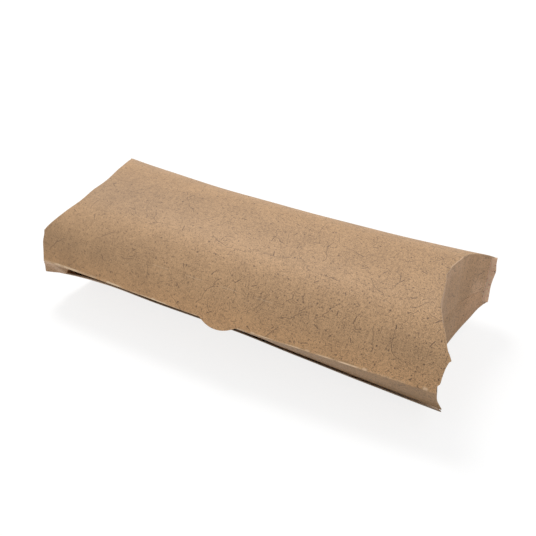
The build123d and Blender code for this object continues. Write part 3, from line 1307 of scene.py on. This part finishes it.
        # Painted light: paler along the lid's crease and towards the back corner.
        pale = self.crescent.at(depth) * self.crescent_reach.at(y)
        pale += self.flap_back.at(y) * (self.flap_back_pale + self.flap_back_foot.at(depth))
        return Spot(
            Vector((x, y, top - depth)) + fold.lift(depth),
            (end.value * (self.flap_flat + depth), y),
            depth,
            tint=tinted((1.0, self.flap_base), (pale, self.flap_hue)),
        )

    def build(self) -> None:
        """Makes and dresses the lid and its end flaps."""
        lid = BoardSheet("lid", self.columns, self.rows, self.spot, UP, self.shape.board)
        lay(lid, self.finishes, "top_panel")
        self.build_flaps("upper", "inner", self.flap_spot)


@dataclass
class Belly(ClosedPanel):
    """Lower panel that the box lies on, with the two lower end flaps outside the upper ones."""

    columns: int = 230
    rows: int = 110
    flat_from: float = 260.0
    # Painted shade along the belly's front edge, under the slit.
    slit_shade: Rise = Rise(1.6, -1.6, -0.5)
    flap_rows: int = 30
    flap_top: float = 23.4
    flap_crown: float = 1.4
    flap_corner: float = 5.0
    skive: Rise = Rise(5.5, -5.5)
    skived: float = 0.85
    proud: float = 0.08
    # Painted light on the lower end flaps: lighter towards the back corner and darker towards the front.
    flap_back: Rise = Rise(22.0, 12.0, 0.20)
    flap_front: Rise = Rise(23.0, -18.0, -0.11)
    flap_hue: Tint = (1.0, 1.0, 1.4)

    def spot(self, along: float, across: float) -> Spot:
        """Place on the underside of the belly.

        Args:
            along: From -1 to 1 along the box.
            across: From 0 at the front to 1 at the back.

        Returns:
            The place.
        """
        shape = self.shape
        part, end = across * 2 - 1, End.of(along)
        radius = shape.crease_radius
        x = along * shape.tip_x
        for _ in range(self.rounds):
            y = shape.belly_point(x, part).y
            x = abs(along) * shape.end_x(end, y, radius, 0.0)
        corner = shape.lower_edge(x, part)
        slope = shape.belly_slope(x, math.copysign(shape.brim, part))
        to_edge = (1 - abs(part)) * abs(corner.y) * math.sqrt(1 + slope**2)
        to_end = shape.past_crease(end, x, y, radius, 0.0)
        point = shape.belly_point(x, part)
        if part > 0:
            own = Vector((0.0, -1.0, -abs(slope))).normalized()
            other = (shape.back_fold(x) - corner).normalized()
            point += Fold(own, other, shape.sharp_fold).lift(to_edge)
        point += shape.end_fold(end, y, radius, shape.belly_slope(x, part), UP, shape.sharp_fold).lift(to_end)
        # Painted shade along the front edge, under the slit.
        dark = self.slit_shade.at(to_edge) if part < 0 else 0.0
        return Spot(point, (x, y + self.flat_from), min(to_edge, to_end), tint=tinted((dark, PLAIN)))

    def flap_spot(self, end: End, along: float, across: float) -> Spot:
        """Place on the outside of a lower end flap.

        Args:
            end: Which end of the box.
            along: From -1 at the front to 1 at the back.
            across: From 0 at the belly to 1 at the free edge.

        Returns:
            The place.
        """
        shape = self.shape
        radius = shape.crease_radius
        y, cut_off = shape.flap_place(along, self.flap_corner)
        x = shape.end_x(end, y, radius, 0.0)
        foot, lid = shape.belly_z(x, y), shape.lid_z(x, y)
        reach = self.flap_top + self.flap_crown * (1 - along * along) - cut_off - foot
        height = reach * across
        slope = shape.belly_slope(x, y / abs(shape.lower_edge(x, y).y))
        fold = shape.end_fold(end, y, radius, slope, UP, shape.sharp_fold)
        thinned = self.skive.at(reach - height)
        x = shape.end_x(end, y, radius, height / (lid - foot))
        x -= end.value * (shape.flap_wrap - self.proud) * thinned
        # Painted light: lighter towards the back and darker towards the front.
        pale = self.flap_back.at(y) + self.flap_front.at(y)
        return Spot(
            Vector((x, y, foot + height)) + fold.lift(height),
            (end.value * (self.flap_flat + height), y + self.flat_from),
            height,
            tint=tinted((1.0, self.flap_base), (pale, self.flap_hue)),
            full=1 - self.skived * thinned,
        )

    def build(self) -> None:
        """Makes and dresses the belly and its end flaps."""
        face, _, inside = self.finishes
        belly = BoardSheet("belly", self.columns, self.rows, self.spot, DOWN, self.shape.board, lined=True)
        lay(belly, [face, face, inside], "bottom_panel")
        self.build_flaps("lower", "outer", self.flap_spot)


@dataclass
class SideStrips:
    """Sizes that the front and back strips share, and how far their ends are cut in at each height."""

    shape: CartonShape
    finishes: Finishes
    columns: int = 320
    rows: int = 30
    rounds: int = 3
    left_end: Curve = Curve(((14.0, 0.1), (23.0, 0.6), (31.0, 0.1), (38.0, 0.4), (45.2, 0.1)))
    right_end: Curve = Curve(((14.0, 0.1), (23.0, 0.8), (31.0, 0.1), (38.0, 0.3), (45.2, 0.1)))

    def edge_x(self, along: float, z: float) -> float:
        """Place along the box for a share of a strip's length at a height."""
        inset = (self.left_end if along < 0 else self.right_end).at(z)
        return along * (self.shape.tip_x - inset)

    def sheet(self, name: str, surface: Surface, tilt: Pair, lined: bool = False) -> BoardSheet:
        """One strip of the side, not made yet, that faces a way given across and up."""
        outward = Vector((0.0, *tilt))
        return BoardSheet(name, self.columns, self.rows, surface, outward, self.shape.board, lined)


@dataclass
class FrontSide(SideStrips):
    """Front side: the flap that tears open with its thumb tab, and the strip below it."""

    left_end: Curve = Curve(
        ((14.0, 0.5), (19.5, 0.5), (23.6, 1.5), (28.0, 2.8), (29.0, 3.5), (31.0, 3.2), (35.0, 2.2),
         (39.0, 1.2), (43.0, 1.0), (45.2, 0.4))
    )
    right_end: Curve = Curve(
        ((12.0, 0.3), (16.5, 1.5), (20.4, 2.5), (24.8, 2.8), (29.6, 2.8), (31.2, 3.2), (33.2, 3.3),
         (34.2, 2.4), (36.9, 2.25), (40.6, 1.95), (42.4, 1.6), (44.3, 1.0), (45.2, 0.2))
    )
    tab_chord: float = 21.7
    tab_depth: float = 4.4
    tab_play: float = 0.4
    tear_gap: float = 0.2
    bend: float = 1.2
    slit_line: Curve = Curve(
        ((-1.0, 5.0), (-0.975, 4.6), (-0.945, 0.3), (-0.91, 0.15), (-0.895, 3.4), (-0.84, 3.3),
         (-0.56, 2.9), (-0.38, 2.4), (-0.21, 1.9), (0.0, 1.7), (0.10, 1.9), (0.17, 2.15), (0.25, 1.9),
         (0.31, 2.0), (0.5, 2.1), (0.94, 2.0), (1.0, 1.3))
    )
    flare_line: Curve = Curve(((-1.0, -6.8), (-0.975, -6.0), (-0.945, -0.4), (-0.91, 0.0)))
    flap_flat: float = -46.0
    strip_flat: float = -66.0
    # Tint of the flap: a warmer hue with painted light towards the front fold, a painted highlight near the
    # cut crease, painted light on the lower right and painted shade at the left end.
    warm_hue: Tint = (0.13, 0.08, 0.01)
    crest: Rise = Rise(10.0, -10.0, 0.09)
    crest_reach: Rise = Rise(90.0, -40.0)
    lower_part: Rise = Rise(0.0, 10.0)
    lit_right: Rise = Rise(45.0, 40.0, 0.09)
    left_painted_shade: Rise = Rise(-25.0, -60.0, -0.07)
    shaded: Rise = Rise(-20.0, 40.0)
    shade: float = 0.16
    foot_shade: Rise = Rise(9.0, -9.0, 0.30)
    shade_hue: Tint = (-1.0, -1.18, -1.55)
    # Painted light at the strip's left corner.
    pale_corner: Rise = Rise(-100.0, -8.0, 0.22)
    corner_hue: Tint = (1.0, 1.2, 1.9)

    def tab(self, x: float, chord: float, depth: float) -> float:
        """How far the half-moon reaches past the fold at a place.

        Args:
            x: Place along the box.
            chord: Width of the half-moon.
            depth: Its depth in the middle.

        Returns:
            The reach.
        """
        half = chord / 2
        if abs(x) >= half:
            return 0.0
        radius = (half**2 + depth**2) / (2 * depth)
        return math.sqrt(radius**2 - x**2) - radius + depth

    def flap_spot(self, along: float, across: float) -> Spot:
        """Place on the outside of the flap that tears open.

        Args:
            along: From -1 to 1 along the box.
            across: From 0 at the cut crease to 1 at the free edge.

        Returns:
            The place.
        """
        shape = self.shape
        x = along * shape.tip_x
        for _ in range(self.rounds):
            upper, fold = shape.upper_front(x), shape.front_fold(x)
            down, width = (fold - upper).normalized(), (fold - upper).length
            reach = shape.strip_width + self.tab(x, self.tab_chord, self.tab_depth)
            run = (max(width, reach) - self.tear_gap) * across
            x = self.edge_x(along, upper.z + down.z * run)
        lid_way = Vector((0.0, 1.0, shape.lid_slope(x, -1.0))).normalized()
        return Spot(
            shape.upper_front(x) + down * run + Fold(down, lid_way, shape.soft_fold).lift(run),
            (x, self.flap_flat - run),
            hinge=run,
            fold=width - self.tear_gap - run if abs(x) > self.tab_chord / 2 else FAR_MM,
            # The flap's tint is a warmer hue with painted light and painted shade.
            tint=self.warmth_and_painted_light(x, run),
        )

    def strip_spot(self, along: float, across: float) -> Spot:
        """Place on the outside of the strip below the fold.

        Args:
            along: From -1 to 1 along the box.
            across: From 0 at the fold to 1 at its foot.

        Returns:
            The place.
        """
        shape = self.shape
        x = along * shape.tip_x
        for _ in range(self.rounds):
            fold, foot = shape.front_fold(x), shape.lower_front(x)
            foot.z += self.slit_line.at(shape.share(x))
            foot.y += self.flare_line.at(shape.share(x))
            down, width = (foot - fold).normalized(), (foot - fold).length
            past = self.tab(x, self.tab_chord + 2 * self.tab_play, self.tab_depth + self.tab_play)
            spare = min(0.0, shape.strip_width - (fold - shape.upper_front(x)).length)
            start = self.tear_gap + max(0.0, past + spare)
            run = start + (width - start) * across
            x = self.edge_x(along, fold.z + down.z * run)
        # Painted shade, darker towards the foot, and painted light at the left corner.
        dark = self.shaded.at(x) * (self.shade + self.foot_shade.at(width - run))
        return Spot(
            fold + down * run,
            (x, self.strip_flat - run),
            fold=run - start,
            tint=tinted((dark, self.shade_hue), (self.pale_corner.at(x), self.corner_hue)),
        )

    def warmth_and_painted_light(self, x: float, run: float) -> Tint:
        """Tint of the flap, a warmer hue with painted light: warmer and brighter towards the front fold, a
        painted highlight near the cut crease, painted light on the lower right and painted shade at the left
        end.

        Args:
            x: Place along the box.
            run: Distance from the cut crease.

        Returns:
            The tint.
        """
        lift = self.crest.at(run) * self.crest_reach.at(abs(x)) + self.left_painted_shade.at(x)
        lift += self.lower_part.at(run) * self.lit_right.at(x)
        return tinted((ramp(run, self.shape.strip_width), self.warm_hue), (lift, PLAIN))

    def build(self) -> None:
        """Makes and dresses the flap and the strip."""
        sheet = self.sheet("tear_open_flap", self.flap_spot, (-1.0, 0.8))
        flap = dress(sheet, self.finishes, "tear_flap")
        hinge = self.shape.upper_front(0.0)
        down = (self.shape.front_fold(0.0) - hinge).normalized()
        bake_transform(flap, "carton", "flap", start=hinge * MM, end=(hinge + down * self.bend) * MM)
        strip = self.sheet("front_lower_strip", self.strip_spot, (-1.0, -0.8))
        lay(strip, self.finishes, "front_lower_side")


@dataclass
class BackSide(SideStrips):
    """Back side: two strips folded outwards along the middle."""

    upper_flat: float = 46.0
    lower_flat: float = 64.0
    # Painted light at the right end of the back strips, on both faces.
    painted_end_light: Rise = Rise(104.0, 8.0)
    painted_end_light_hue: Tint = (0.39, 0.35, 0.36)

    def spot(self, upper: bool, along: float, across: float) -> Spot:
        """Place on the outside of a back strip.

        Args:
            upper: Whether it is the upper strip.
            along: From -1 to 1 along the box.
            across: From 0 at its upper edge to 1 at its lower edge.

        Returns:
            The place.
        """
        shape = self.shape
        lines = (shape.upper_back, shape.back_fold, shape.lower_back)
        first, last = lines[:2] if upper else lines[1:]
        x = along * shape.tip_x
        for _ in range(self.rounds):
            head, foot = first(x).z, last(x).z
            x = self.edge_x(along, head + (foot - head) * across)
        top, fold, low = (line(x) for line in lines)
        if upper:
            start, way, flat = top, fold - top, self.upper_flat
            above, below = Vector((0.0, -1.0, abs(shape.lid_slope(x, 1.0)))), low - fold
        else:
            start, way, flat = fold, low - fold, self.lower_flat
            above, below = top - fold, Vector((0.0, -1.0, -abs(shape.belly_slope(x, shape.brim))))
        down, width = way.normalized(), way.length
        run = width * across
        top_fold = Fold(down, above.normalized(), shape.sharp_fold)
        low_fold = Fold(-down, below.normalized(), shape.sharp_fold)
        return Spot(
            start + down * run + top_fold.lift(run) + low_fold.lift(width - run),
            (x, flat + run),
            min(run, width - run),
            # Painted light at the right end.
            tint=tinted((self.painted_end_light.at(x), self.painted_end_light_hue)),
        )

    def build(self) -> None:
        """Makes and dresses the two strips."""
        for word, upper, up in (("upper", True, 0.6), ("lower", False, -0.6)):
            strip = self.sheet(f"back_{word}_strip", partial(self.spot, upper), (1.0, up), lined=True)
            lay(strip, self.finishes, f"back_{word}_side")


@dataclass
class LongSeam:
    """Glued seam inside the back, whose CAD pieces are kept and dressed."""

    board_finish: bpy.types.Material
    glue_finish: bpy.types.Material
    pieces: dict[str, bpy.types.Object]

    def build(self) -> None:
        """Gives the seam's two pieces their finishes."""
        for name, finish in (("seam_flap", self.board_finish), ("seam_glue", self.glue_finish)):
            piece = self.pieces[name]
            piece.data.materials.clear()
            piece.data.materials.append(finish)
            log.info("%s: dressed with %s", name, finish.name)


# ---------------------------------------------------------------- studio


@dataclass
class Lamp:
    """A soft square lamp that faces the box."""

    name: str
    place: tuple[float, float, float]
    size: float
    power: float
    aim: tuple[float, float, float] = (0.0, 0.0, 0.03)

    def build(self) -> None:
        """Hangs the lamp and turns it towards the box."""
        data = bpy.data.lights.new(self.name, "AREA")
        data.size = self.size
        data.energy = self.power
        lamp = placed(self.name, data)
        lamp.location = self.place
        way = Vector(self.aim) - Vector(self.place)
        lamp.rotation_euler = way.to_track_quat("-Z", "Y").to_euler()
        log.info("%s: %.1f W", self.name, self.power)


@dataclass
class Studio:
    """Pale floor, soft light and the camera."""

    floor_finish: bpy.types.Material
    floor_size: float = 6.0
    camera_place: tuple[float, float, float] = (0.1544, -0.30735, 0.29855)
    azimuth: float = 26.415
    elevation: float = 38.196
    lens: float = 53.36
    sensor: float = 36.0
    sky: float = 0.556
    lamps: tuple[Lamp, ...] = (Lamp("overhead_softbox", (-0.494, 0.416, 1.131), 0.45, 8.5),)

    def build(self) -> None:
        """Makes the floor, the world's light, the lamps and the camera."""
        self.lay_floor()
        self.light_sky()
        for lamp in self.lamps:
            lamp.build()
        self.aim_camera()
        bpy.context.scene.view_settings.view_transform = "Standard"

    def lay_floor(self) -> None:
        """Level floor under the box."""
        mesh = bmesh.new()
        bmesh.ops.create_grid(mesh, x_segments=4, y_segments=4, size=self.floor_size / 2)
        floor = shaped("floor", mesh)
        floor.data.materials.append(self.floor_finish)

    def light_sky(self) -> None:
        """Even light from all round, white where it is seen directly."""
        shader = Shader(bpy.data.worlds.new("sky"))
        plain, white = (
            shader.node("ShaderNodeBackground", {}, {"Color": WHITE, "Strength": strength})
            for strength in (self.sky, 1.0)
        )
        sockets = {0: shader.seen(), 1: plain.outputs[0], 2: white.outputs[0]}
        mixed = shader.node("ShaderNodeMixShader", {}, sockets)
        bpy.context.scene.world = shader.finish(mixed.outputs[0], "ShaderNodeOutputWorld")

    def aim_camera(self) -> None:
        """Camera at the photograph's angle."""
        data = bpy.data.cameras.new("camera")
        data.lens = self.lens
        data.sensor_width = self.sensor
        camera = placed("camera", data)
        camera.location = self.camera_place
        camera.rotation_euler = (math.radians(90 - self.elevation), 0.0, math.radians(self.azimuth))
        bpy.context.scene.camera = camera


def main() -> None:
    """Builds the box, the seam and the studio in order."""
    logging.basicConfig(level=logging.INFO, format="%(name)s %(message)s")
    shape = CartonShape()
    kraft = KraftBoard()
    # The inner face is paler kraft, made paler still as painted light to lift its shaded inside.
    inside = KraftBoard(pulp=(0.95, 0.68, 0.47, 1.0), dark_pulp=(0.74, 0.51, 0.345, 1.0))
    board = [kraft.build("kraft_face"), kraft.build("kraft_cut_edge", edge=True)]
    board.append(inside.build("kraft_inside"))
    Lid(shape, board).build()
    Belly(shape, board).build()
    FrontSide(shape, board).build()
    BackSide(shape, board).build()
    seam_board = inside.build("kraft_seam", stored=False)
    LongSeam(seam_board, DriedGlue().build("glue_film"), frame["nodes"]).build()
    Studio(StudioFloor().build("pale_floor")).build()


if __name__ == "__main__":
    main()
